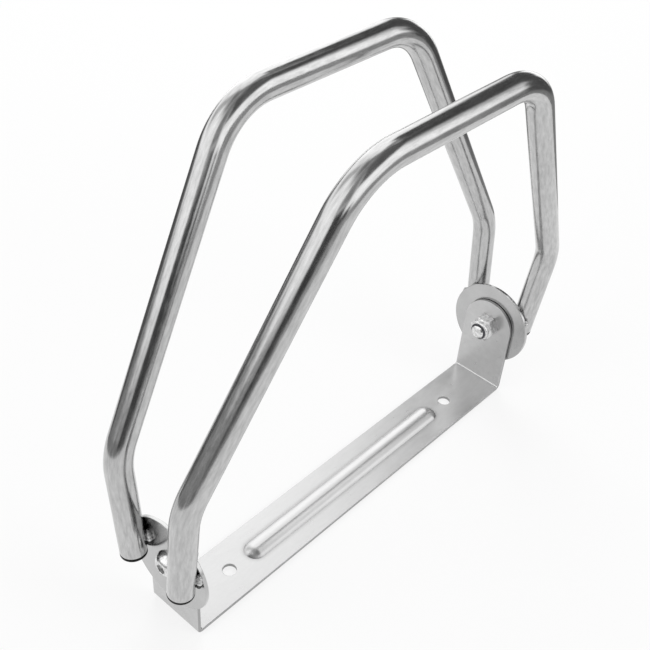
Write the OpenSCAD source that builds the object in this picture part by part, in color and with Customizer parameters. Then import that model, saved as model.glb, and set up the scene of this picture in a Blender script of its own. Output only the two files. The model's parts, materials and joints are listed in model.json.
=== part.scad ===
// Swivelling bike rack: a folded strip bracket carries two tube hoops on pivot discs.
// X runs along the strip, Y across it, Z away from the floor or wall.
// The origin is the centre of the bracket's mounting face.

/* [Bracket] */
// Width of the strip and of both ears
strip_w = 40; // [30:0.5:50]
// Sheet thickness of the strip
strip_t = 2.5; // [2:0.1:4]
// Clear length between the two ears
ear_gap = 306; // [260:1:400]
// Inside radius of the folds
fold_r = 1.5; // [1:0.1:4]
// Height of the pivot above the mounting face
pivot_h = 53; // [46:0.5:80]
// Distance between the two mounting holes
mount_pitch = 222; // [200:1:240]
// Diameter of a mounting hole
mount_d = 9; // [6:0.1:12]
// Length of the pressed rib over its round ends
rib_len = 192; // [120:1:200]
// Width of the pressed rib
rib_w = 15; // [11:0.5:20]
// Height of the pressed rib above the strip
rib_h = 3.5; // [2:0.1:4.5]

/* [Pivot discs] */
// Diameter of a pivot disc
disc_d = 63; // [60:0.5:76]
// Thickness of a pivot disc
disc_t = 2.5; // [2:0.1:4]
// Chamfer round the rim of a disc
disc_chamfer = 0.3; // [0.1:0.1:0.8]

/* [Hoops] */
// Outside diameter of the tube
tube_d = 16; // [12:0.5:18]
// Wall of the tube
tube_wall = 1.5; // [1:0.1:2.5]
// Bend radius of the tube on its centreline
bend_r = 44; // [30:1:50]
// How much the wall thins on each face through a bend
bend_draw = 0.02; // [0.01:0.01:0.1]
// Height of a hoop's legs from the pivot to the lower corner
leg_h = 74; // [60:1:100]
// Height of a hoop from the pivot to the centreline of its top
hoop_h = 241; // [215:1:300]
// Length of the top between its two corners
top_len = 142; // [130:1:170]
// Distance of a hoop's foot from the middle, on the pivot's level
foot_y = 20; // [19:0.5:23]
// Lean of each hoop outwards, in degrees
splay = 5.3; // [3:0.1:5.5]

/* [Pivot hardware] */
// Thread diameter of the pivot screws
screw_d = 10; // [8:0.5:12]
// Length of a pivot screw under its head
screw_len = 19.2; // [18:0.1:24]
// Diameter of the button head
head_d = 17.5; // [15:0.5:19]
// Height of the button head
head_h = 5.5; // [4:0.1:6]
// Width across flats of the hexagon socket
socket_af = 6; // [4:0.5:7]
// Depth of the hexagon socket
socket_depth = 3.1; // [2:0.1:3.5]
// Outside diameter of the friction washer
friction_d = 20; // [18:0.5:24]
// Thickness of the friction washer
friction_t = 0.5; // [0.4:0.1:2]
// Width across flats of the lock nut
nut_af = 17; // [16:0.5:19]
// Height of the lock nut
nut_h = 11.5; // [9:0.1:13]

/* [Fits] */
// Play of a disc on its screw, on the radius
pivot_play = 0.05; // [0.02:0.01:0.1]
// Play beside each face of a disc
side_play = 0.05; // [0.02:0.01:0.1]
// Clearance of the screw in its washer, the ears and the nut, on the radius
screw_clear = 0.1; // [0.05:0.05:0.3]
// Root gap between a tube and its disc, bridged by the weld
root_gap = 0.2; // [0.1:0.1:0.5]
// Clearance of a plug's stem in its tube, on the radius
plug_clear = 0.1; // [0.05:0.05:0.2]

/* [Tube plugs] */
// Thickness of a plug's flange
flange_t = 1.6; // [0.8:0.1:2.2]
// Length of a plug's stem inside the tube
stem_len = 11; // [6:1:16]

/* [Welds] */
// Length of a weld bead along the tube
bead_len = 13; // [8:1:18]
// Radius of a weld ripple
bead_r = 2.2; // [1.6:0.1:2.6]

/* [Hidden] */
$fn = 96;

NEAR = -1;
FAR = 1;
REAR = 1;
FRONT = -1;
over = 1;                 // how far a cut runs past the surface it cuts
quarter = 90;

// Places along the pivot axis, from the inside of an ear outwards
ear_in = ear_gap / 2;
ear_out = ear_in + strip_t;
disc_in = ear_out + friction_t + side_play;
disc_out = disc_in + disc_t;
head_in = disc_out + side_play;
tube_r = tube_d / 2;
leg_x = disc_out + root_gap + tube_r;
screw_end = head_in - screw_len;

// Steel sections
rib_r = (rib_w * rib_w / 4 + rib_h * rib_h) / (2 * rib_h);
rib_z = strip_t + rib_h - rib_r;
bore_r = tube_r - tube_wall;
screw_r = screw_d / 2;

// Hoop corners in the hoop's own plane, X along the rack and Y up the lean
lean_run = leg_x - top_len / 2;
lean_rise = hoop_h - leg_h;
lean = atan2(lean_run, lean_rise);
low_tan = bend_r * tan(lean / 2);
high_tan = bend_r * tan((quarter - lean) / 2);
lean_len = sqrt(lean_run * lean_run + lean_rise * lean_rise);

bend_lap = 0.5;           // how far a bend's ends turn on inside the straight tubes, in degrees

// Small forms of the hardware
screw_chamfer = 0.9;
head_flat_r = 4.6;
head_edge = 0.6;
nut_chamfer = 1.1;
collar_h = 3.2;
collar_step = 0.9;
collar_r = nut_af / 2 - collar_step;
collar_round = 1.6;
insert_wall = 1.3;
insert_r = screw_r + insert_wall;
insert_h = 2.4;
insert_sink = 0.4;
washer_chamfer = 0.1;
ripples = 6;
bead_side = 5.6;
bead_rise = 0.9;
bead_start = 1.5;
rib_groove = 0.8;
stem_ribs = 3;

// Puts a child that is drawn along +Z onto the pivot axis, with z = 0 at the middle of the rack
module on_axis(end) {
    translate([0, 0, pivot_h])
        rotate([0, end * quarter, 0])
            children();
}

// Ring of a chamfered plate, drawn from z = 0 upwards
module plate_ring(outer_r, inner_r, thick, chamfer) {
    rotate_extrude()
        polygon([
            [inner_r, 0],
            [outer_r - chamfer, 0],
            [outer_r, chamfer],
            [outer_r, thick - chamfer],
            [outer_r - chamfer, thick],
            [inner_r, thick]
        ]);
}

// Bracket: folded strip with ears, pressed rib and holes

module fold_corner() {
    // quarter ring in the XZ profile, with its centre at the inside of the fold
    intersection() {
        difference() {
            circle(r = fold_r + strip_t);
            circle(r = fold_r);
        }
        translate([0, -fold_r - strip_t])
            square([fold_r + strip_t, fold_r + strip_t]);
    }
}

module strip_profile() {
    bend_x = ear_in - fold_r;
    bend_z = strip_t + fold_r;
    ear_top = pivot_h + strip_w / 2;
    translate([-bend_x, 0])
        square([2 * bend_x, strip_t]);
    for (side = [-1, 1])
        mirror([side < 0 ? 1 : 0, 0]) {
            translate([bend_x, bend_z])
                fold_corner();
            translate([ear_in, bend_z])
                square([strip_t, ear_top - bend_z]);
        }
}

module ear_outline() {
    translate([-strip_w / 2, 0])
        square([strip_w, pivot_h]);
    translate([0, pivot_h])
        circle(d = strip_w);
}

module rib_section(radius) {
    // part of the rib's round that lies above the mounting face
    intersection() {
        translate([0, rib_z])
            circle(r = radius);
        translate([-rib_w / 2, 0])
            square([rib_w, strip_t + rib_h + over]);
    }
}

module rib_body(radius, floor_z) {
    run = rib_len - rib_w;
    intersection() {
        union() {
            translate([-run / 2, 0, 0])
                rotate([quarter, 0, quarter])
                    linear_extrude(run)
                        rib_section(radius);
            for (end = [NEAR, FAR])
                translate([end * run / 2, 0, 0])
                    rotate([0, 0, end * -quarter])
                        rotate_extrude(angle = 2 * quarter)
                            intersection() {
                                rib_section(radius);
                                square([rib_w, strip_t + rib_h + over]);
                            }
        }
        translate([-rib_len / 2, -rib_w / 2, floor_z])
            cube([rib_len, rib_w, strip_t + rib_h]);
    }
}

module base_bracket() {
    color("silver")
        difference() {
            union() {
                intersection() {
                    translate([0, strip_w / 2, 0])
                        rotate([quarter, 0, 0])
                            linear_extrude(strip_w)
                                strip_profile();
                    translate([-ear_out - over, 0, 0])
                        rotate([quarter, 0, quarter])
                            linear_extrude(2 * (ear_out + over))
                                ear_outline();
                }
                rib_body(rib_r, strip_t / 2);
            }
            rib_body(rib_r - strip_t, 0);
            for (end = [NEAR, FAR])
                translate([end * mount_pitch / 2, 0, -over])
                    cylinder(d = mount_d, h = strip_t + 2 * over);
            translate([-ear_out - over, 0, pivot_h])
                rotate([0, quarter, 0])
                    cylinder(r = screw_r + screw_clear, h = 2 * (ear_out + over));
        }
}

// Pivot discs: round plates that the hoops are welded to

module pivot_disc(end) {
    color("gainsboro")
        on_axis(end)
            translate([0, 0, disc_in])
                plate_ring(disc_d / 2, screw_r + pivot_play, disc_t, disc_chamfer);
}

// Hoops: one bent tube each

module tube_section(drawn) {
    difference() {
        circle(r = tube_r - drawn);
        circle(r = bore_r + drawn);
    }
}

// Straight tube that starts at a point of the hoop's plane and runs at an angle from +Z towards -X
module tube_run(start, angle, length) {
    translate([start[0], 0, start[1]])
        rotate([0, -angle, 0])
            linear_extrude(length)
                tube_section(0);
}

// Bend that starts at a point, heading at an angle from +Z towards -X, and turns further that way.
// Its ends run on inside the straight tubes' wall, and make one piece with them.
module tube_bend(start, angle, turn) {
    translate([start[0], 0, start[1]])
        rotate([0, -angle, 0])
            translate([-bend_r, 0, 0])
                rotate([quarter, bend_lap, 0])
                    rotate_extrude(angle = turn + 2 * bend_lap)
                        translate([bend_r, 0])
                            tube_section(bend_draw);
}

module hoop_side() {
    leg_top = leg_h - low_tan;
    low_end = [leg_x - low_tan * sin(lean), leg_h + low_tan * cos(lean)];
    high_start = [top_len / 2 + high_tan * sin(lean), hoop_h - high_tan * cos(lean)];
    tube_run([leg_x, flange_t], 0, leg_top - flange_t);
    tube_bend([leg_x, leg_top], 0, lean);
    tube_run(low_end, lean, lean_len - low_tan - high_tan);
    tube_bend(high_start, lean, quarter - lean);
}

// Carries a child from the hoop's own plane to its place, leaning out on one side
module on_hoop(side) {
    mirror([0, side < 0 ? 1 : 0, 0])
        translate([0, foot_y, pivot_h])
            rotate([-splay, 0, 0])
                children();
}

module hoop(side) {
    color("lightgray")
        on_hoop(side) {
            for (flip = [0, 1])
                mirror([flip, 0, 0])
                    hoop_side();
            tube_run([top_len / 2 - high_tan, hoop_h], quarter, top_len - 2 * high_tan);
        }
}

// Plugs: closed ends of the tubes

module tube_plug(side, end) {
    stem_r = bore_r - plug_clear;
    color("black")
        on_hoop(side)
            translate([end * leg_x, 0, 0])
                rotate_extrude()
                    difference() {
                        square([tube_r, flange_t + stem_len]);
                        translate([stem_r, flange_t])
                            square([tube_r, stem_len + over]);
                        for (i = [0:stem_ribs - 1])
                            translate([stem_r - rib_groove, flange_t + (i + 0.5) * stem_len / stem_ribs])
                                square([tube_r, stem_len / stem_ribs / 2]);
                    }
}

// Weld beads: a row of ripples in the corner between tube and disc

module bead(side, end, flank) {
    step = (bead_len - 2 * bead_r) / (ripples - 1);
    on_hoop(side)
        translate([end * leg_x, 0, 0])
            difference() {
                for (i = [0:ripples - 1])
                    translate([
                        -end * (tube_r + root_gap - bead_rise),
                        flank * bead_side,
                        flange_t + bead_start + bead_r + i * step
                    ])
                        sphere(r = bead_r);
                cylinder(r = tube_r, h = flange_t + bead_start + bead_len + over);
                translate([end < 0 ? tube_r + root_gap : -tube_r - root_gap - 2 * bead_r, -tube_d, 0])
                    cube([2 * bead_r, 2 * tube_d, flange_t + bead_start + bead_len + over]);
            }
}

module weld_beads(end) {
    color("darkgray")
        for (side = [FRONT, REAR], flank = [-1, 1])
            bead(side, end, flank);
}

// Pivot screw, friction washer and lock nut

module pivot_screw(end) {
    color("whitesmoke")
        on_axis(end)
            difference() {
                union() {
                    translate([0, 0, screw_end])
                        cylinder(r1 = screw_r - screw_chamfer, r2 = screw_r, h = screw_chamfer);
                    translate([0, 0, screw_end + screw_chamfer])
                        cylinder(r = screw_r, h = screw_len - screw_chamfer);
                    translate([0, 0, head_in])
                        button_head();
                }
                translate([0, 0, head_in + head_h - socket_depth])
                    cylinder(d = socket_af / cos(30), h = socket_depth + over, $fn = 6);
            }
}

// Button head: a low rim under a round that ends in a small flat
module button_head() {
    head_r = head_d / 2;
    dome_h = head_h - head_edge;
    // the dome's round passes through the rim and the edge of the flat
    dome_z = (dome_h * dome_h + head_flat_r * head_flat_r - head_r * head_r) / (2 * dome_h);
    dome_r = sqrt(head_r * head_r + dome_z * dome_z);
    cylinder(r = head_r, h = head_edge);
    translate([0, 0, head_edge])
        rotate_extrude()
            intersection() {
                translate([0, dome_z])
                    circle(r = dome_r);
                square([head_r, dome_h]);
            }
}

module friction_washer(end) {
    color("dimgray")
        on_axis(end)
            translate([0, 0, ear_out])
                plate_ring(friction_d / 2, screw_r + screw_clear, friction_t, washer_chamfer);
}

// Lock nut, drawn from the ear inwards: a chamfered hexagon under a round collar
module lock_nut(end) {
    hex_h = nut_h - collar_h;
    corner_r = nut_af / 2 / cos(30);
    color("gainsboro")
        on_axis(end)
            translate([0, 0, ear_in])
                mirror([0, 0, 1])
                    rotate([0, 0, 30])
                        difference() {
                            union() {
                                intersection() {
                                    cylinder(r = corner_r, h = hex_h, $fn = 6);
                                    rotate_extrude()
                                        polygon([
                                            [0, 0],
                                            [nut_af / 2, 0],
                                            [2 * corner_r - nut_af / 2, nut_chamfer],
                                            [2 * corner_r - collar_r, hex_h - 2 * nut_chamfer],
                                            [collar_r, hex_h],
                                            [0, hex_h]
                                        ]);
                                }
                                cylinder(r = collar_r, h = nut_h - collar_round);
                                translate([0, 0, nut_h - collar_round])
                                    rotate_extrude() {
                                        square([collar_r - collar_round, collar_round]);
                                        translate([collar_r - collar_round, 0])
                                            intersection() {
                                                circle(r = collar_round);
                                                square([collar_round, collar_round]);
                                            }
                                    }
                            }
                            translate([0, 0, -over])
                                cylinder(r = screw_r + screw_clear, h = nut_h + 2 * over);
                            translate([0, 0, nut_h - insert_sink - insert_h])
                                cylinder(r = insert_r, h = insert_h + insert_sink + over);
                        }
}

module nut_insert(end) {
    color("darkslategray")
        on_axis(end)
            translate([0, 0, ear_in - nut_h + insert_sink])
                difference() {
                    cylinder(r = insert_r, h = insert_h);
                    translate([0, 0, -over])
                        cylinder(r = screw_r, h = insert_h + 2 * over);
                }
}

base_bracket();
pivot_disc(NEAR);  // near_pivot_disc
pivot_disc(FAR);  // far_pivot_disc
hoop(REAR);  // rear_hoop
hoop(FRONT);  // front_hoop
weld_beads(NEAR);  // near_weld_beads
weld_beads(FAR);  // far_weld_beads
tube_plug(REAR, NEAR);  // rear_near_plug
tube_plug(REAR, FAR);  // rear_far_plug
tube_plug(FRONT, NEAR);  // front_near_plug
tube_plug(FRONT, FAR);  // front_far_plug
pivot_screw(NEAR);  // near_pivot_screw
pivot_screw(FAR);  // far_pivot_screw
friction_washer(NEAR);  // near_friction_washer
friction_washer(FAR);  // far_friction_washer
lock_nut(NEAR);  // near_lock_nut
lock_nut(FAR);  // far_lock_nut
nut_insert(NEAR);  // near_nut_insert
nut_insert(FAR);  // far_nut_insert
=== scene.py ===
"""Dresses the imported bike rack: bright zinc plated tube hoops on a folded, zinc plated bracket.

The frame gives the solids. The operators below model the pieces that show again in finer detail, give the
washers and the nut rings a finish, and set the stage.
All places and sizes are in metres, in the frame of the solids.
"""

import json
import math

import bmesh
import bpy
from mathutils import Euler, Matrix, Vector


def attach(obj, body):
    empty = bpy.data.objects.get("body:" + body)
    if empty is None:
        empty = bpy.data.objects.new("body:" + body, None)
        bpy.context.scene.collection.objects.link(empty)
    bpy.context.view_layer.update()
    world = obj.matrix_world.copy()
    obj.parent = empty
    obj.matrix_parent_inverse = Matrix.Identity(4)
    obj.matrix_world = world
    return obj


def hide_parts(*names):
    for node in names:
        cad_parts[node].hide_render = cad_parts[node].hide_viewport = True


bl_info = {
    "name": "Bike rack",
    "version": (1, 0, 0),
    "blender": (4, 5, 0),
    "location": "3D View > Sidebar > Bike rack",
    "description": "Models the tube hoops, pivots and bracket of a swivelling bike rack",
    "category": "Object",
}

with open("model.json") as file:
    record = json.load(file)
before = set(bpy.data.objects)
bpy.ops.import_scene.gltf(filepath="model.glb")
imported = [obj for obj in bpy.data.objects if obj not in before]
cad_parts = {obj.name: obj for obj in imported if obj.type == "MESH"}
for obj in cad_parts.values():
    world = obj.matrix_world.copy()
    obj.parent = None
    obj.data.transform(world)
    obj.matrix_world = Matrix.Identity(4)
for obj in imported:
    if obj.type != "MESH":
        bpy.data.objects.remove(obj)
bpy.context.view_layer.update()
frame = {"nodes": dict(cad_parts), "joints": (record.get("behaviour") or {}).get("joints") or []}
NODES = frame["nodes"]
PIVOT_Z = frame["joints"][0]["pos_m"][2]
SIDES = {"front": -1, "rear": 1}
ENDS = {"near": -1, "far": 1}
MM = 0.001
FULL_TURN = 2 * math.pi
QUARTER = math.pi / 2
SPIN_AXIS = (0.0, 0.0, 1.0)
ORIGIN = (0.0, 0.0, 0.0)
WHITE = (1.0, 1.0, 1.0, 1.0)
# How far from the rack's middle the fixing holes lie, and how far out the inner corners get painted shade.
HOLE_X = 111.0 * MM
CORNER_SHADE_X = 120.0 * MM
# The lumps of one weld bead: height over its foot and radius, both in mm, and how dark each one is painted:
# scorched zinc, and painted shade on the low lumps at the bead's foot.
BEAD_LUMPS = (
    (0.2, 2.0, 0.96),
    (1.9, 2.5, 0.9),
    (4.3, 2.8, 0.0),
    (6.0, 2.4, 0.05),
    (7.6, 2.6, 0.1),
    (9.4, 1.7, 0.3),
)


class StageSizes(bpy.types.PropertyGroup):
    """The camera, the floor and the lights."""

    camera_place: bpy.props.FloatVectorProperty(
        name="Camera place",
        description="Where the camera stands",
        default=(-0.3793, -0.2848, 0.5244),
        unit="LENGTH",
    )
    camera_turn: bpy.props.FloatVectorProperty(
        name="Camera turn",
        description="How the camera is turned about X, Y and Z",
        default=(math.radians(48.05), math.radians(-4.13), math.radians(-48.17)),
        subtype="EULER",
    )
    lens: bpy.props.FloatProperty(
        name="Lens",
        description="Focal length on a 36 mm sensor",
        default=56.1,
        unit="CAMERA",
    )
    shift: bpy.props.FloatVectorProperty(
        name="Shift",
        description="Lens shift that sets the crop",
        default=(-0.0265, 0.0709),
        size=2,
    )
    floor_colour: bpy.props.FloatVectorProperty(
        name="Floor",
        description="Colour of the floor",
        default=(0.9, 0.9, 0.9),
        subtype="COLOR",
    )
    room_light: bpy.props.FloatProperty(
        name="Room light",
        description="Strength of the even light of the room",
        default=0.6,
    )
    table_radius: bpy.props.FloatProperty(
        name="Table",
        description="Radius of the pale floor that the metal mirrors",
        default=0.7,
        unit="LENGTH",
    )
    table_middle: bpy.props.FloatVectorProperty(
        name="Table middle",
        description="Middle of that pale floor",
        default=(-0.16, -0.3),
        size=2,
        unit="LENGTH",
    )
    floor_glow: bpy.props.FloatProperty(
        name="Floor whiteness",
        description="Share of plain white in the floor that the camera sees",
        default=0.78,
        subtype="FACTOR",
    )


class HoopSizes(bpy.types.PropertyGroup):
    """The bent tubes and their plugs, as the solids have them, but with a thicker flange on the plugs."""

    tube_d: bpy.props.FloatProperty(
        name="Tube",
        description="Outside diameter of the tube",
        default=16.0 * MM,
        unit="LENGTH",
    )
    tube_wall: bpy.props.FloatProperty(
        name="Wall",
        description="Wall of the tube",
        default=1.5 * MM,
        unit="LENGTH",
    )
    bend_r: bpy.props.FloatProperty(
        name="Bend radius",
        description="Radius of the tube's centreline in a bend",
        default=44.0 * MM,
        unit="LENGTH",
    )
    leg_x: bpy.props.FloatProperty(
        name="Leg",
        description="Distance of a leg from the middle of the rack",
        default=166.75 * MM,
        unit="LENGTH",
    )
    leg_h: bpy.props.FloatProperty(
        name="Leg height",
        description="Height of the lower corner over the pivot",
        default=74.0 * MM,
        unit="LENGTH",
    )
    hoop_h: bpy.props.FloatProperty(
        name="Hoop height",
        description="Height of the top over the pivot",
        default=241.0 * MM,
        unit="LENGTH",
    )
    top_len: bpy.props.FloatProperty(
        name="Top length",
        description="Length of the top between its corners",
        default=142.0 * MM,
        unit="LENGTH",
    )
    foot_y: bpy.props.FloatProperty(
        name="Foot",
        description="Distance of a foot from the middle",
        default=20.0 * MM,
        unit="LENGTH",
    )
    splay: bpy.props.FloatProperty(
        name="Splay",
        description="Lean of each hoop outwards",
        default=math.radians(5.3),
        subtype="ANGLE",
    )
    flange_t: bpy.props.FloatProperty(
        name="Plug flange",
        description="Thickness of a plug's flange",
        default=2.4 * MM,
        unit="LENGTH",
    )
    stem_len: bpy.props.FloatProperty(
        name="Plug stem",
        description="Length of a plug's stem in the tube",
        default=11.0 * MM,
        unit="LENGTH",
    )


class PivotSizes(bpy.types.PropertyGroup):
    """The discs and the fasteners, as the solids have them."""

    disc_d: bpy.props.FloatProperty(
        name="Disc",
        description="Diameter of a pivot disc",
        default=63.0 * MM,
        unit="LENGTH",
    )
    disc_t: bpy.props.FloatProperty(
        name="Disc thickness",
        description="Thickness of a pivot disc",
        default=2.5 * MM,
        unit="LENGTH",
    )
    disc_in: bpy.props.FloatProperty(
        name="Disc place",
        description="Distance of a disc's inner face from the middle",
        default=156.05 * MM,
        unit="LENGTH",
    )
    screw_d: bpy.props.FloatProperty(
        name="Screw",
        description="Thread diameter of a pivot screw",
        default=10.0 * MM,
        unit="LENGTH",
    )
    screw_len: bpy.props.FloatProperty(
        name="Screw length",
        description="Length of a screw under its head",
        default=19.2 * MM,
        unit="LENGTH",
    )
    head_d: bpy.props.FloatProperty(
        name="Head",
        description="Diameter of the button head",
        default=17.5 * MM,
        unit="LENGTH",
    )
    head_h: bpy.props.FloatProperty(
        name="Head height",
        description="Height of the button head",
        default=5.5 * MM,
        unit="LENGTH",
    )
    socket_af: bpy.props.FloatProperty(
        name="Socket",
        description="Width across flats of the hexagon socket",
        default=6.0 * MM,
        unit="LENGTH",
    )
    socket_depth: bpy.props.FloatProperty(
        name="Socket depth",
        description="Depth of the hexagon socket",
        default=3.1 * MM,
        unit="LENGTH",
    )


class FinishSizes(bpy.types.PropertyGroup):
    """Colours of the finishes."""

    tube_colour: bpy.props.FloatVectorProperty(
        name="Tube",
        description="Bright zinc on the tubes",
        default=(0.5, 0.5, 0.5),
        subtype="COLOR",
    )
    plate_colour: bpy.props.FloatVectorProperty(
        name="Plate",
        description="Satin zinc on the strip",
        default=(0.55, 0.55, 0.55),
        subtype="COLOR",
    )
    # Darker than the plate, partly as duller sheared steel and partly as painted shade along the strip's
    # edges.
    edge_dull_and_shade_colour: bpy.props.FloatVectorProperty(
        name="Cut edges",
        description="Dull sheared edges of the sheet",
        default=(0.37, 0.37, 0.37),
        subtype="COLOR",
    )
    fastener_colour: bpy.props.FloatVectorProperty(
        name="Fasteners",
        description="Bright zinc on the bolts",
        default=(0.7, 0.7, 0.7),
        subtype="COLOR",
    )
    plastic_colour: bpy.props.FloatVectorProperty(
        name="Plugs",
        description="Black plastic of the plugs",
        default=(0.004, 0.004, 0.004),
        subtype="COLOR",
    )
    nylon_colour: bpy.props.FloatVectorProperty(
        name="Nut rings",
        description="Dark nylon in the lock nuts",
        default=(0.09, 0.09, 0.1),
        subtype="COLOR",
    )


def new_material(name, metallic, roughness):
    """A material with only a Principled BSDF and its output."""
    made = bpy.data.materials.new(name)
    made.use_nodes = True
    shader = made.node_tree.nodes["Principled BSDF"]
    shader.inputs["Metallic"].default_value = metallic
    shader.inputs["Roughness"].default_value = roughness
    return made, shader


def add_node(tree, kind, **values):
    """A node of a tree, with its sockets or settings filled in."""
    node = tree.nodes.new(kind)
    for name, value in values.items():
        socket = name.replace("_", " ").title()
        if socket in node.inputs:
            node.inputs[socket].default_value = value
        else:
            setattr(node, name, value)
    return node


def math_node(tree, operation, *values):
    """A Math node of sockets and numbers, and its result."""
    node = add_node(tree, "ShaderNodeMath", operation=operation)
    for socket, value in zip(node.inputs, values):
        if isinstance(value, bpy.types.NodeSocket):
            tree.links.new(value, socket)
        else:
            socket.default_value = value
    return node.outputs[0]


def scaled(tree, colour, share):
    """A colour with its brightness scaled."""
    node = add_node(tree, "ShaderNodeVectorMath", operation="SCALE")
    tree.links.new(colour, node.inputs[0])
    tree.links.new(share, node.inputs["Scale"])
    return node.outputs["Vector"]


def add_sockets(tree, way, kind, *names):
    """Gives a node group named sockets, all inputs or all outputs and all of one kind."""
    for name in names:
        tree.interface.new_socket(name, in_out=way, socket_type=f"NodeSocket{kind}")


def zinc_group():
    """Node group: mottled zinc with fine drawn grain."""
    name = "zinc_skin"
    if name in bpy.data.node_groups:
        return bpy.data.node_groups[name]
    tree = bpy.data.node_groups.new(name, "ShaderNodeTree")
    add_sockets(tree, "INPUT", "Vector", "Place")
    add_sockets(tree, "INPUT", "Color", "Colour")
    add_sockets(tree, "INPUT", "Float", "Mottle", "Gloss Patches", "Roughness", "Patch Scale", "Grain Scale")
    add_sockets(tree, "OUTPUT", "Color", "Colour")
    add_sockets(tree, "OUTPUT", "Float", "Roughness", "Height")
    ins = tree.nodes.new("NodeGroupInput").outputs
    outs = tree.nodes.new("NodeGroupOutput").inputs
    link = tree.links.new
    patches = add_node(tree, "ShaderNodeTexNoise", detail=4.0, roughness=0.6)
    grain = add_node(tree, "ShaderNodeTexNoise", detail=3.0, roughness=0.7)
    for noise, scale in ((patches, "Patch Scale"), (grain, "Grain Scale")):
        link(ins["Place"], noise.inputs["Vector"])
        link(ins[scale], noise.inputs["Scale"])
    tone = add_node(tree, "ShaderNodeMapRange", from_min=0.3, from_max=0.7)
    link(patches.outputs["Fac"], tone.inputs["Value"])
    link(math_node(tree, "SUBTRACT", 1.0, ins["Mottle"]), tone.inputs["To Min"])
    link(math_node(tree, "ADD", 1.0, ins["Mottle"]), tone.inputs["To Max"])
    link(scaled(tree, ins["Colour"], tone.outputs["Result"]), outs["Colour"])
    centred = math_node(tree, "SUBTRACT", patches.outputs["Fac"], 0.5)
    link(math_node(tree, "MULTIPLY_ADD", centred, ins["Gloss Patches"], ins["Roughness"]), outs["Roughness"])
    link(grain.outputs["Fac"], outs["Height"])
    return tree


def painted_corner_shade(tree, reach):
    """1 on open zinc and less in the inner corners between the folds: painted shade, darker where ambient
    occlusion finds the corner closed in.
    """
    darkening = 2.5
    openness = add_node(tree, "ShaderNodeAmbientOcclusion", samples=12, only_local=True, distance=reach)
    spot = tree.nodes.new("ShaderNodeTexCoord")
    parts = tree.nodes.new("ShaderNodeSeparateXYZ")
    tree.links.new(spot.outputs["Object"], parts.inputs[0])
    from_middle = math_node(tree, "ABSOLUTE", parts.outputs["X"])
    between_folds = math_node(tree, "LESS_THAN", from_middle, CORNER_SHADE_X)
    power = math_node(tree, "MULTIPLY", between_folds, darkening)
    return math_node(tree, "POWER", openness.outputs["AO"], power)


def zinc_material(
    name,
    colour,
    roughness,
    stretch=(1.0, 1.0, 1.0),
    bump=0.3,
    mottle=0.06,
    along=None,
    soot_and_shade=None,
    corner_shade_reach=0.0,
    patch_scale=60.0,
    grain_scale=900.0,
    depth=0.02 * MM,
):
    """Zinc plated steel.

    stretch scales its pattern's place, and along names the attribute that the pattern follows. mottle is the
    share by which its brightness varies, soot names the attribute that tells where it is darkened, as
    scorched zinc and as painted shade at the foot of a weld bead, and crease is the reach of the painted
    shade that ambient occlusion lays in inner corners. bump and depth are the strength and the height of its
    grain.
    """
    made, shader = new_material(name, 1.0, roughness)
    tree = made.node_tree
    link = tree.links.new
    drawn = add_node(tree, "ShaderNodeMapping")
    drawn.inputs["Scale"].default_value = stretch
    if along:
        place = add_node(tree, "ShaderNodeAttribute", attribute_name=along)
        link(place.outputs["Vector"], drawn.inputs["Vector"])
    else:
        place = tree.nodes.new("ShaderNodeTexCoord")
        link(place.outputs["Object"], drawn.inputs["Vector"])
    skin = tree.nodes.new("ShaderNodeGroup")
    skin.node_tree = zinc_group()
    values = {
        "Colour": (*colour, 1.0),
        "Roughness": roughness,
        "Mottle": mottle,
        "Gloss Patches": 0.15,
        "Patch Scale": patch_scale,
        "Grain Scale": grain_scale,
    }
    for label, value in values.items():
        skin.inputs[label].default_value = value
    link(drawn.outputs["Vector"], skin.inputs["Place"])
    link(skin.outputs["Roughness"], shader.inputs["Roughness"])
    tone = skin.outputs["Colour"]
    # Painted shade at the foot of a weld bead, and scorched zinc, darken the colour by the attribute.
    if soot_and_shade:
        burnt_and_shaded = add_node(tree, "ShaderNodeAttribute", attribute_name=soot_and_shade)
        tone = scaled(tree, tone, math_node(tree, "SUBTRACT", 1.0, burnt_and_shaded.outputs["Fac"]))
    # Painted shade: ambient occlusion darkens the colour in the inner corners between the folds.
    if corner_shade_reach:
        tone = scaled(tree, tone, painted_corner_shade(tree, corner_shade_reach))
    link(tone, shader.inputs["Base Color"])
    relief = tree.nodes.new("ShaderNodeBump")
    relief.inputs["Strength"].default_value = bump
    relief.inputs["Distance"].default_value = depth
    link(skin.outputs["Height"], relief.inputs["Height"])
    link(relief.outputs["Normal"], shader.inputs["Normal"])
    return made


def plastic_material(name, colour, roughness):
    """Moulded plastic with a fine, dull skin."""
    made, shader = new_material(name, 0.0, roughness)
    tree = made.node_tree
    shader.inputs["Base Color"].default_value = (*colour, 1.0)
    shader.inputs["Specular IOR Level"].default_value = 0.15
    place = tree.nodes.new("ShaderNodeTexCoord")
    skin = add_node(tree, "ShaderNodeTexNoise", scale=1500.0, detail=2.0)
    relief = tree.nodes.new("ShaderNodeBump")
    relief.inputs["Strength"].default_value = 0.2
    relief.inputs["Distance"].default_value = 0.02 * MM
    tree.links.new(place.outputs["Object"], skin.inputs["Vector"])
    tree.links.new(skin.outputs["Fac"], relief.inputs["Height"])
    tree.links.new(relief.outputs["Normal"], shader.inputs["Normal"])
    return made


def paint(node, material):
    """Gives a CAD node a finish."""
    slots = NODES[node].data.materials
    slots.clear()
    slots.append(material)


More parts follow.
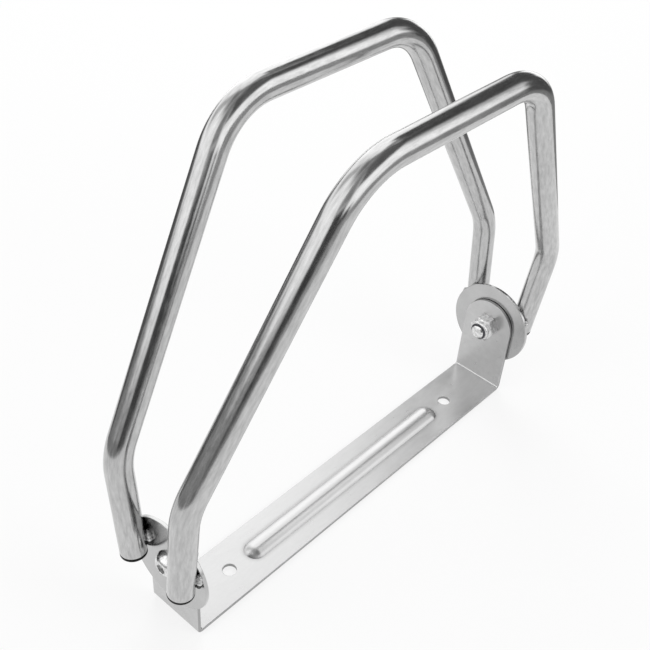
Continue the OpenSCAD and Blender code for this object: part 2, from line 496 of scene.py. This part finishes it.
def place_piece(name, shape, body, slot, node, *materials, even=False):
    """Makes an object of a finished shape that stands for a node of the frame."""
    mesh = bpy.data.meshes.new(name)
    shape.to_mesh(mesh)
    shape.free()
    mesh.shade_smooth()
    mesh.set_sharp_from_angle(angle=math.radians(40))
    for material in materials:
        mesh.materials.append(material)
    made = bpy.data.objects.new(name, mesh)
    bpy.context.scene.collection.objects.link(made)
    if even:
        flat = made.modifiers.new("even_faces", "WEIGHTED_NORMAL")
        flat.keep_sharp = True
    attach(made, body)
    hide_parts(node)
    return made


def on_axis(end):
    """Carries a shape drawn along +Z from the middle of the rack out along the pivot axis."""
    return Matrix.Translation((0.0, 0.0, PIVOT_Z)) @ Matrix.Rotation(end * QUARTER, 4, "Y")


def on_hoop(side, sizes):
    """Carries a shape from a hoop's own plane to its place, leaning out on one side."""
    flip = Matrix.Diagonal((1.0, side, 1.0, 1.0))
    lift = Matrix.Translation((0.0, sizes.foot_y, PIVOT_Z))
    return flip @ lift @ Matrix.Rotation(-sizes.splay, 4, "X")


def settle(shape, carried):
    """Moves a shape to its place, with its faces outwards."""
    bmesh.ops.transform(shape, matrix=carried, verts=shape.verts)
    bmesh.ops.recalc_face_normals(shape, faces=shape.faces)
    return shape


class Outline:
    """Half a section in the XZ plane, drawn point by point and then turned about Z."""

    def __init__(self, radius, height):
        self.shape = bmesh.new()
        self.first = self.last = self.shape.verts.new((radius, 0.0, height))

    def step(self):
        """A new point joined to the last one."""
        grown = bmesh.ops.extrude_vert_indiv(self.shape, verts=[self.last])
        self.last = grown["verts"][0]
        return self.last

    def line(self, radius, height):
        """A straight line to a point."""
        self.step().co = (radius, 0.0, height)
        return self

    def arc(self, radius, height, turn, steps):
        """An arc about a point, turned anticlockwise as X points right and Z points up."""
        for _ in range(steps):
            bmesh.ops.rotate(
                self.shape,
                verts=[self.step()],
                cent=(radius, 0.0, height),
                matrix=Matrix.Rotation(-turn / steps, 3, "Y"),
            )
        return self

    def close(self):
        """A straight line back to the first point."""
        self.shape.edges.new((self.last, self.first))
        return self

    def turn(self, segments):
        """The whole shape that the section makes as it turns."""
        shape = self.shape
        bmesh.ops.spin(
            shape,
            geom=[*shape.verts, *shape.edges],
            cent=ORIGIN,
            axis=SPIN_AXIS,
            angle=FULL_TURN,
            steps=segments,
            use_merge=True,
        )
        bmesh.ops.remove_doubles(shape, verts=shape.verts, dist=0.001 * MM)
        bmesh.ops.recalc_face_normals(shape, faces=shape.faces)
        return shape


class TubeRun:
    """A tube drawn on ring by ring in the XZ plane.

    The attribute "drawn" of its skin keeps the place that each point had on the straight tube.
    """

    segments = 64

    def __init__(self, radius, start):
        self.shape = bmesh.new()
        self.layer = self.shape.verts.layers.float_vector.new("drawn")
        bmesh.ops.create_circle(self.shape, segments=self.segments, radius=radius)
        for vert in self.shape.verts:
            vert[self.layer] = vert.co
        self.ring = list(self.shape.edges)
        self.middle = Vector(start)
        self.heading = 0.0
        bmesh.ops.translate(self.shape, verts=self.shape.verts, vec=self.middle)

    def grow(self, length):
        """Draws the open ring on and gives the new ring's points."""
        grown = bmesh.ops.extrude_edge_only(self.shape, edges=self.ring)["geom"]
        points = [part for part in grown if isinstance(part, bmesh.types.BMVert)]
        self.ring = [part for part in grown if isinstance(part, bmesh.types.BMEdge)]
        for vert in points:
            vert[self.layer] = vert[self.layer] + Vector((0.0, 0.0, length))
        return points

    def straight(self, length):
        """Draws the tube straight on."""
        step = Vector((math.sin(self.heading), 0.0, math.cos(self.heading))) * length
        bmesh.ops.translate(self.shape, verts=self.grow(length), vec=step)
        self.middle += step

    def bend(self, radius, turn, steps):
        """Draws the tube on round an arc of its centreline."""
        centre = self.middle + Vector((math.cos(self.heading), 0.0, -math.sin(self.heading))) * radius
        part = Matrix.Rotation(turn / steps, 3, "Y")
        for _ in range(steps):
            bmesh.ops.rotate(self.shape, verts=self.grow(radius * turn / steps), cent=centre, matrix=part)
        self.middle = centre + Matrix.Rotation(turn, 3, "Y") @ (self.middle - centre)
        self.heading += turn


def hoop_shape(side, sizes):
    """One bent tube from foot to foot, open at its ends."""
    low_steps = 12
    high_steps = 20
    lean_run = sizes.leg_x - sizes.top_len / 2
    lean_rise = sizes.hoop_h - sizes.leg_h
    lean = math.atan2(lean_run, lean_rise)
    low_tan = sizes.bend_r * math.tan(lean / 2)
    high_tan = sizes.bend_r * math.tan((QUARTER - lean) / 2)
    slope = math.hypot(lean_run, lean_rise) - low_tan - high_tan
    leg = sizes.leg_h - low_tan - sizes.flange_t
    run = TubeRun(sizes.tube_d / 2, (-sizes.leg_x, 0.0, sizes.flange_t))
    run.straight(leg)
    run.bend(sizes.bend_r, lean, low_steps)
    run.straight(slope)
    run.bend(sizes.bend_r, QUARTER - lean, high_steps)
    run.straight(sizes.top_len - 2 * high_tan)
    run.bend(sizes.bend_r, QUARTER - lean, high_steps)
    run.straight(slope)
    run.bend(sizes.bend_r, lean, low_steps)
    run.straight(leg)
    shape = settle(run.shape, on_hoop(side, sizes))
    bmesh.ops.solidify(shape, geom=shape.faces[:], thickness=sizes.tube_wall)
    return shape


def plug_shape(side, end, sizes):
    """A ribbed stem over a flange with a rounded rim."""
    rim = 0.5 * MM
    play = 0.1 * MM
    groove = 0.8 * MM
    ribs = 3
    tube_r = sizes.tube_d / 2
    stem_r = tube_r - sizes.tube_wall - play
    rise = sizes.stem_len / ribs
    section = Outline(0.0, 0.0).line(tube_r - rim, 0.0).arc(tube_r - rim, rim, QUARTER, 4)
    section.line(tube_r, sizes.flange_t).line(stem_r, sizes.flange_t)
    for rib in range(ribs):
        foot = sizes.flange_t + rib * rise
        section.line(stem_r, foot + rise / 2).line(stem_r - groove, foot + rise / 2)
        section.line(stem_r - groove, foot + rise).line(stem_r, foot + rise)
    section.line(0.0, sizes.flange_t + sizes.stem_len)
    shape = section.turn(segments=48)
    bmesh.ops.translate(shape, verts=shape.verts, vec=(end * sizes.leg_x, 0.0, 0.0))
    return settle(shape, on_hoop(side, sizes))


def disc_shape(end, sizes):
    """A punched disc with rolled edges and a bore."""
    roll = 0.45 * MM
    play = 0.05 * MM
    outer = sizes.disc_d / 2
    inner = sizes.screw_d / 2 + play
    low = sizes.disc_in
    high = low + sizes.disc_t
    section = Outline(inner, low).line(outer - roll, low).arc(outer - roll, low + roll, QUARTER, 4)
    section.line(outer, high - roll).arc(outer - roll, high - roll, QUARTER, 4).line(inner, high).close()
    return settle(section.turn(segments=128), on_axis(end))


def bead_shape(end, sizes):
    """Four short lumpy beads in the corners between tubes and disc."""
    whole = bmesh.new()
    burnt_and_shaded = whole.verts.layers.float.new("burnt_and_shaded")
    out = sizes.leg_x - sizes.tube_d / 2 + 0.7 * MM
    aside = 5.9 * MM
    foot = sizes.flange_t + 3.6 * MM
    squeeze = (0.72, 1.0, 0.8)
    for side in SIDES.values():
        lean = on_hoop(side, sizes)
        for flank in (-1, 1):
            for rise, radius, soot_and_shade in BEAD_LUMPS:
                spot = (end * out, flank * aside, foot + rise * MM)
                lump = bmesh.ops.create_uvsphere(whole, u_segments=20, v_segments=12, radius=radius * MM)
                points = lump["verts"]
                bmesh.ops.scale(whole, vec=squeeze, verts=points)
                bmesh.ops.translate(whole, vec=spot, verts=points)
                bmesh.ops.transform(whole, matrix=lean, verts=points)
                # Each point keeps its lump's darkness: painted shade on the low lumps at the bead's foot, and
                # scorched zinc.
                for vert in points:
                    vert[burnt_and_shaded] = soot_and_shade
    bmesh.ops.recalc_face_normals(whole, faces=whole.faces)
    return whole


def screw_shape(end, sizes):
    """A button head with a hexagon socket on a plain screw with a chamfered tip."""
    segments = 48
    corners = 6
    gap = 0.05 * MM
    rim = 0.6 * MM
    flat_r = 4.6 * MM
    chamfer = 0.9 * MM
    shank_r = sizes.screw_d / 2
    head_r = sizes.head_d / 2
    head_in = sizes.disc_in + sizes.disc_t + gap
    tip = head_in - sizes.screw_len
    dome_h = sizes.head_h - rim
    dome_z = (dome_h ** 2 + flat_r ** 2 - head_r ** 2) / (2 * dome_h)
    dome_turn = math.atan2(dome_h - dome_z, flat_r) - math.atan2(-dome_z, head_r)
    section = Outline(0.0, tip).line(shank_r - chamfer, tip).line(shank_r, tip + chamfer)
    section.line(shank_r, head_in).line(head_r, head_in).line(head_r, head_in + rim)
    section.arc(0.0, head_in + rim + dome_z, dome_turn, 12)
    shape = section.turn(segments)
    top = head_in + sizes.head_h
    mouth = [edge for edge in shape.edges if edge.is_boundary]
    corner_r = sizes.socket_af / 2 / math.cos(math.pi / corners)
    hexagon = bmesh.ops.create_circle(shape, segments=corners, radius=corner_r)
    ring = list({edge for vert in hexagon["verts"] for edge in vert.link_edges})
    bmesh.ops.translate(shape, vec=(0.0, 0.0, top), verts=hexagon["verts"])
    bmesh.ops.subdivide_edges(shape, edges=ring, cuts=segments // corners - 1)
    ring = [edge for edge in shape.edges if edge.is_wire]
    bmesh.ops.bridge_loops(shape, edges=mouth + ring)
    sunk = bmesh.ops.extrude_edge_only(shape, edges=ring)["geom"]
    floor_points = [part for part in sunk if isinstance(part, bmesh.types.BMVert)]
    floor_edges = [part for part in sunk if isinstance(part, bmesh.types.BMEdge)]
    bmesh.ops.translate(shape, vec=(0.0, 0.0, -sizes.socket_depth), verts=floor_points)
    bmesh.ops.contextual_create(shape, geom=floor_edges)
    return settle(shape, on_axis(end))


def bevelled_copy(node, width):
    """A node's mesh again, as one skin with small bevels along its sharp edges."""
    flat = math.radians(0.3)
    sharp = math.radians(35)
    shape = bmesh.new()
    shape.from_mesh(NODES[node].data)
    bmesh.ops.remove_doubles(shape, verts=shape.verts, dist=0.002 * MM)
    bmesh.ops.dissolve_limit(shape, angle_limit=flat, verts=shape.verts, edges=shape.edges)
    closed = [edge for edge in shape.edges if len(edge.link_faces) == 2]
    bmesh.ops.bevel(
        shape,
        geom=[edge for edge in closed if edge.calc_face_angle(0.0) > sharp],
        offset=width,
        segments=2,
        profile=0.5,
        affect="EDGES",
        clamp_overlap=True,
        material=-1,
    )
    return shape


def is_cut(face):
    """Whether a face of the bracket is a sheared edge or a hole's wall, and not a flat side or the rib."""
    slight = 0.1
    strong = 0.5
    rib_x = 98.0 * MM
    rib_y = 8.0 * MM
    ear_z = PIVOT_Z + 14.0 * MM
    hole_reach = 6.0 * MM
    middle = face.calc_center_median()
    normal = face.normal
    on_rib = abs(middle.y) < rib_y and abs(middle.x) < rib_x
    on_rim = abs(normal.x) < slight and (abs(normal.y) > strong or middle.z > ear_z)
    from_hole = math.hypot(abs(middle.x) - HOLE_X, middle.y)
    in_hole = abs(normal.z) < slight and from_hole < hole_reach
    return in_hole or (on_rim and not on_rib)


class RACK_OT_bracket(bpy.types.Operator):
    """Models the folded bracket with broken edges"""

    bl_idname = "rack.bracket"
    bl_label = "Bracket"

    def execute(self, context):
        looks = context.scene.rack_finish
        # Reach of the painted shade that ambient occlusion lays in the inner corners of the plate and its cut
        # edges.
        corner_shade_reach = 3.5 * MM
        plate = zinc_material("satin_zinc", looks.plate_colour, 0.3, stretch=(1.0, 3.0, 3.0), corner_shade_reach=corner_shade_reach)
        edge = zinc_material("sheared_edge_and_shade", looks.edge_dull_and_shade_colour, 0.45, bump=0.6, mottle=0.12, corner_shade_reach=corner_shade_reach)
        shape = bevelled_copy("base_bracket", 0.25 * MM)
        for face in shape.faces:
            face.material_index = int(is_cut(face))
        node = "base_bracket"
        place_piece("folded_bracket", shape, "bracket", "bracket_steel", node, plate, edge, even=True)
        return {"FINISHED"}


class RACK_OT_hoops(bpy.types.Operator):
    """Models the bent tubes and their end plugs"""

    bl_idname = "rack.hoops"
    bl_label = "Hoops"

    def execute(self, context):
        looks = context.scene.rack_finish
        sizes = context.scene.rack_hoops
        tube = zinc_material(
            "bright_zinc_tube", looks.tube_colour, 0.17, stretch=(1.0, 1.0, 0.2), bump=0.7, mottle=0.16,
            along="drawn", patch_scale=600.0, grain_scale=800.0,
        )
        plug = plastic_material("black_plastic", looks.plastic_colour, 0.6)
        for side, lean in SIDES.items():
            shape = hoop_shape(lean, sizes)
            place_piece(f"{side}_tube_hoop", shape, "hoops", "tube_steel", f"{side}_hoop", tube)
            for end, way in ENDS.items():
                shape = plug_shape(lean, way, sizes)
                node = f"{side}_{end}_plug"
                place_piece(f"{side}_{end}_end_plug", shape, "hoops", "plug_plastic", node, plug, even=True)
        return {"FINISHED"}


class RACK_OT_discs(bpy.types.Operator):
    """Models the pivot discs and the weld beads on them"""

    bl_idname = "rack.discs"
    bl_label = "Discs and welds"

    def execute(self, context):
        looks = context.scene.rack_finish
        pivots = context.scene.rack_pivots
        disc = zinc_material("bright_zinc_disc", looks.tube_colour, 0.2, bump=0.15)
        weld = zinc_material(
            "zinc_weld", looks.plate_colour, 0.25, bump=0.8, mottle=0.35, soot_and_shade="burnt_and_shaded",
            patch_scale=500.0, grain_scale=700.0, depth=0.3 * MM,
        )
        for end, way in ENDS.items():
            shape = disc_shape(way, pivots)
            place_piece(f"{end}_disc", shape, "hoops", "disc_steel", f"{end}_pivot_disc", disc, even=True)
            shape = bead_shape(way, context.scene.rack_hoops)
            place_piece(f"{end}_welds", shape, "hoops", "weld_steel", f"{end}_weld_beads", weld)
        return {"FINISHED"}


class RACK_OT_pivots(bpy.types.Operator):
    """Models the screws and lock nuts, and finishes the washers"""

    bl_idname = "rack.pivots"
    bl_label = "Pivot hardware"

    def execute(self, context):
        looks = context.scene.rack_finish
        sizes = context.scene.rack_pivots
        bright = zinc_material(
            "bright_zinc_fastener", looks.fastener_colour, 0.2, bump=0.6, mottle=0.3,
            patch_scale=500.0, grain_scale=600.0, depth=0.06 * MM,
        )
        rough = zinc_material(
            "zinc_nut", looks.fastener_colour, 0.36, bump=0.9, mottle=0.35,
            patch_scale=500.0, grain_scale=500.0, depth=0.12 * MM,
        )
        nylon = plastic_material("dark_nylon", looks.nylon_colour, 0.4)
        # The friction washers are black plastic, and their black also stands in as painted shade for the gap
        # between ear and disc.
        black = plastic_material("black_washer_and_gap_shade", looks.plastic_colour, 0.4)
        for end, way in ENDS.items():
            shape = screw_shape(way, sizes)
            place_piece(f"{end}_screw", shape, "bracket", "fastener_steel", f"{end}_pivot_screw", bright)
            shape = bevelled_copy(f"{end}_lock_nut", 0.2 * MM)
            place_piece(f"{end}_nut", shape, "bracket", "fastener_steel", f"{end}_lock_nut", rough)
            paint(f"{end}_nut_insert", nylon)
            paint(f"{end}_friction_washer", black)
        return {"FINISHED"}


# What the metal mirrors of the room, each a soft-edged patch of direction: its middle and half its width as
# an angle from +X towards +Y, its lower and upper edge over the horizon and its softness, all in degrees, and
# its brightness. Later patches lie over earlier ones. A brightness of 1 is the background's plain white.
ROOM = {
    "sky": (0.0, 180.0, 0.0, 95.0, 4.0, 1.5),
    "roof": (0.0, 180.0, 62.0, 95.0, 14.0, 0.3),
    "back_gap": (104.0, 13.0, 20.0, 62.0, 6.0, 0.7),
    "roof_front": (-60.0, 58.0, 40.0, 78.0, 6.0, 0.16),
    "roof_camera": (-141.0, 20.0, 26.0, 78.0, 7.0, 0.38),
    "end_gap": (10.0, 10.0, 46.0, 66.0, 4.0, 0.4),
    "horizon": (0.0, 180.0, -95.0, 3.0, 5.0, 0.3),
    "front_dusk": (-80.0, 47.0, -95.0, 2.0, 5.0, 0.42),
    "left_dusk": (157.0, 28.0, -2.0, 9.0, 5.0, 0.3),
    "corner_dusk": (-172.0, 14.0, -2.0, 11.5, 5.0, 0.3),
    "back_box_crown": (50.0, 27.0, 46.0, 74.0, 5.0, 1.5),
    "end_wall": (0.0, 35.0, -18.0, 49.0, 3.0, 0.1),
    "end_glow": (-30.0, 9.0, 18.0, 40.0, 5.0, 0.75),
    "low_box": (19.5, 11.0, -14.0, 5.0, 2.5, 1.65),
    "back_box": (56.0, 14.5, -16.0, 46.0, 4.0, 1.75),
    "back_box_top": (52.0, 17.5, 28.0, 56.0, 5.0, 1.8),
    "back_dusk": (95.0, 26.0, -95.0, -2.0, 4.0, 0.12),
    "front_box": (-69.0, 36.0, 2.0, 37.0, 5.0, 1.6),
    "camera_wall": (-141.0, 17.5, -4.0, 24.0, 5.0, 0.07),
    "camera_wall_end": (-118.0, 15.5, -2.0, 10.5, 4.0, 0.07),
}
# The sockets of a patch that take its angles, in their order above.
PATCH_LIMITS = ("Middle", "Half Width", "Low", "High", "Softness")
# Soft lamps for what isn't metal: place, aim, width and height, and power.
LAMPS = {
    "back_lamp": ((0.8, 0.9, 1.2), (0.0, 0.0, 0.12), (0.9, 0.9), 9.0),
    "front_lamp": ((0.3, -1.2, 1.0), (0.0, 0.0, 0.12), (0.9, 0.7), 6.0),
    "left_lamp": ((-1.2, 0.4, 0.8), (0.0, 0.0, 0.12), (0.9, 0.6), 4.0),
}
# A close lamp in front of the strip's far half that shines straight down, for the gloss along the rib.
RIB_LAMP = ((0.1, -0.13, 0.15), (0.1, -0.13, 0.0), (0.26, 0.24), 0.15)


def soft_lamp(name, place, aim, size, power, mirrored=False):
    """An area lamp. Metal mirrors only a lamp that is marked for it, which then lights nothing else."""
    lamp = bpy.data.lights.new(name, "AREA")
    lamp.shape = "RECTANGLE"
    lamp.size, lamp.size_y = size
    lamp.energy = power
    made = bpy.data.objects.new(name, lamp)
    made.location = place
    made.rotation_euler = (Vector(aim) - Vector(place)).to_track_quat("-Z", "Y").to_euler()
    made.visible_glossy = mirrored
    made.visible_diffuse = not mirrored
    if mirrored:
        lamp.spread = math.radians(110)
        lamp.use_shadow = False
    bpy.context.scene.collection.objects.link(made)


def patch_group():
    """Node group: how far a direction lies inside one soft-edged patch of the room."""
    name = "room_patch"
    if name in bpy.data.node_groups:
        return bpy.data.node_groups[name]
    tree = bpy.data.node_groups.new(name, "ShaderNodeTree")
    add_sockets(tree, "INPUT", "Float", "Azimuth", "Elevation", *PATCH_LIMITS)
    add_sockets(tree, "OUTPUT", "Float", "Inside")
    ins = tree.nodes.new("NodeGroupInput").outputs
    outs = tree.nodes.new("NodeGroupOutput").inputs
    turned = math_node(tree, "SUBTRACT", ins["Azimuth"], ins["Middle"])
    wrapped = math_node(tree, "WRAP", turned, 180.0, -180.0)
    across = math_node(tree, "SUBTRACT", ins["Half Width"], math_node(tree, "ABSOLUTE", wrapped))
    above = math_node(tree, "SUBTRACT", ins["Elevation"], ins["Low"])
    below = math_node(tree, "SUBTRACT", ins["High"], ins["Elevation"])
    least = math_node(tree, "MINIMUM", across, math_node(tree, "MINIMUM", above, below))
    inside = add_node(tree, "ShaderNodeMapRange", interpolation_type="SMOOTHSTEP")
    tree.links.new(least, inside.inputs["Value"])
    tree.links.new(math_node(tree, "MULTIPLY", ins["Softness"], -1.0), inside.inputs["From Min"])
    tree.links.new(ins["Softness"], inside.inputs["From Max"])
    tree.links.new(inside.outputs["Result"], outs["Inside"])
    return tree


def mirrored_room(tree):
    """The brightness of the room in each direction, as the metal mirrors it."""
    way = tree.nodes.new("ShaderNodeTexCoord")
    split = tree.nodes.new("ShaderNodeSeparateXYZ")
    tree.links.new(way.outputs["Generated"], split.inputs[0])
    parts = split.outputs
    azimuth = math_node(tree, "DEGREES", math_node(tree, "ARCTAN2", parts["Y"], parts["X"]))
    elevation = math_node(tree, "DEGREES", math_node(tree, "ARCSINE", parts["Z"]))
    level = 1.0
    for name, (*limits, brightness) in ROOM.items():
        patch = tree.nodes.new("ShaderNodeGroup")
        patch.name = name
        patch.node_tree = patch_group()
        tree.links.new(azimuth, patch.inputs["Azimuth"])
        tree.links.new(elevation, patch.inputs["Elevation"])
        for label, limit in zip(PATCH_LIMITS, limits):
            patch.inputs[label].default_value = limit
        inside = patch.outputs["Inside"]
        kept = math_node(tree, "MULTIPLY", level, math_node(tree, "SUBTRACT", 1.0, inside))
        level = math_node(tree, "MULTIPLY_ADD", inside, brightness, kept)
    return level


def seen_mask(tree):
    """1 for what is seen, straight, mirrored or through glass, and 0 for the light that falls on things."""
    path = tree.nodes.new("ShaderNodeLightPath").outputs
    indirect = math_node(tree, "MAXIMUM", path["Is Glossy Ray"], path["Is Transmission Ray"])
    return math_node(tree, "MAXIMUM", path["Is Camera Ray"], indirect)


class RACK_OT_stage(bpy.types.Operator):
    """Sets the floor, the room, the lights and the camera"""

    bl_idname = "rack.stage"
    bl_label = "Stage"

    def execute(self, context):
        sizes = context.scene.rack_stage
        self.camera(context, sizes)
        self.room(context, sizes)
        self.floor(context, sizes)
        for name, lamp in LAMPS.items():
            soft_lamp(name, *lamp)
        soft_lamp("rib_lamp", *RIB_LAMP, mirrored=True)
        return {"FINISHED"}

    def camera(self, context, sizes):
        """The camera of the photograph, with its crop."""
        seen = bpy.data.cameras.new("camera")
        seen.lens = sizes.lens
        seen.shift_x, seen.shift_y = sizes.shift
        seen.clip_start = 0.01
        made = bpy.data.objects.new("camera", seen)
        made.location = sizes.camera_place
        made.rotation_euler = Euler(sizes.camera_turn)
        context.scene.collection.objects.link(made)
        context.scene.camera = made

    def room(self, context, sizes):
        """Plain white where it is seen, an even light on things, and the patches of ROOM in the metal."""
        world = bpy.data.worlds.new("room")
        world.use_nodes = True
        tree = world.node_tree
        back = tree.nodes["Background"]
        level = add_node(tree, "ShaderNodeMapRange", to_min=sizes.room_light)
        tree.links.new(seen_mask(tree), level.inputs["Value"])
        mirrored = tree.nodes.new("ShaderNodeLightPath").outputs["Is Glossy Ray"]
        plain = math_node(tree, "SUBTRACT", 1.0, mirrored)
        patches = math_node(tree, "MULTIPLY_ADD", mirrored_room(tree), mirrored, plain)
        strength = math_node(tree, "MULTIPLY", level.outputs["Result"], patches)
        tree.links.new(strength, back.inputs["Strength"])
        back.inputs["Color"].default_value = WHITE
        context.scene.world = world
        context.scene.view_settings.view_transform = "Standard"

    def floor(self, context, sizes):
        """A wide pale floor. Past the table's edge the metal mirrors the room's patches in its stead."""
        segments = 96
        spread = 8.0
        height = -0.5 * MM
        inner = bmesh.new()
        bmesh.ops.create_circle(inner, cap_ends=True, segments=segments, radius=sizes.table_radius)
        outer = bmesh.new()
        bmesh.ops.create_circle(outer, segments=segments, radius=sizes.table_radius)
        grown = bmesh.ops.extrude_edge_only(outer, edges=list(outer.edges))["geom"]
        rim = [part for part in grown if isinstance(part, bmesh.types.BMVert)]
        bmesh.ops.scale(outer, vec=(spread, spread, 1.0), verts=rim)
        finish = self.pale_finish(sizes)
        for name, shape in (("floor", inner), ("floor_beyond", outer)):
            bmesh.ops.translate(shape, vec=(*sizes.table_middle, height), verts=shape.verts)
            mesh = bpy.data.meshes.new(name)
            shape.to_mesh(mesh)
            shape.free()
            mesh.materials.append(finish)
            made = bpy.data.objects.new(name, mesh)
            made.visible_glossy = name == "floor"
            context.scene.collection.objects.link(made)

    def pale_finish(self, sizes):
        """The floor's finish, in which the camera sees a share of plain white under the shadow.

        The share grows to the whole between the two distances from the middle of the rack.
        """
        near = 0.4
        far = 1.2
        made, shader = new_material("pale_floor", 0.0, 0.9)
        shader.inputs["Base Color"].default_value = (*sizes.floor_colour, 1.0)
        shader.inputs["Specular IOR Level"].default_value = 0.0
        tree = made.node_tree
        link = tree.links.new
        glow = tree.nodes.new("ShaderNodeEmission")
        mixed = tree.nodes.new("ShaderNodeMixShader")
        place = tree.nodes.new("ShaderNodeTexCoord")
        reach = add_node(tree, "ShaderNodeVectorMath", operation="LENGTH")
        link(place.outputs["Object"], reach.inputs[0])
        whiter = add_node(
            tree,
            "ShaderNodeMapRange",
            interpolation_type="SMOOTHSTEP",
            from_min=near,
            from_max=far,
            to_min=sizes.floor_glow,
        )
        link(reach.outputs["Value"], whiter.inputs["Value"])
        link(math_node(tree, "MULTIPLY", seen_mask(tree), whiter.outputs["Result"]), mixed.inputs["Fac"])
        link(shader.outputs[0], mixed.inputs[1])
        link(glow.outputs[0], mixed.inputs[2])
        link(mixed.outputs[0], tree.nodes["Material Output"].inputs["Surface"])
        return made


class RACK_PT_panel(bpy.types.Panel):
    """Lists the steps that dress the rack"""

    bl_idname = "RACK_PT_panel"
    bl_label = "Bike rack"
    bl_space_type = "VIEW_3D"
    bl_region_type = "UI"
    bl_category = "Bike rack"

    def draw(self, context):
        for step in STEPS:
            self.layout.operator(step.bl_idname)


STEPS = (RACK_OT_stage, RACK_OT_bracket, RACK_OT_hoops, RACK_OT_discs, RACK_OT_pivots)
SIZES = {
    "rack_stage": StageSizes,
    "rack_hoops": HoopSizes,
    "rack_pivots": PivotSizes,
    "rack_finish": FinishSizes,
}
CLASSES = (*SIZES.values(), *STEPS, RACK_PT_panel)


def register():
    for kind in CLASSES:
        bpy.utils.register_class(kind)
    for name, kind in SIZES.items():
        setattr(bpy.types.Scene, name, bpy.props.PointerProperty(type=kind))


def unregister():
    for name in SIZES:
        delattr(bpy.types.Scene, name)
    for kind in reversed(CLASSES):
        bpy.utils.unregister_class(kind)


def main():
    """Dresses the rack."""
    register()
    for step in STEPS:
        family, name = step.bl_idname.split(".")
        getattr(getattr(bpy.ops, family), name)()


if __name__ == "__main__":
    main()
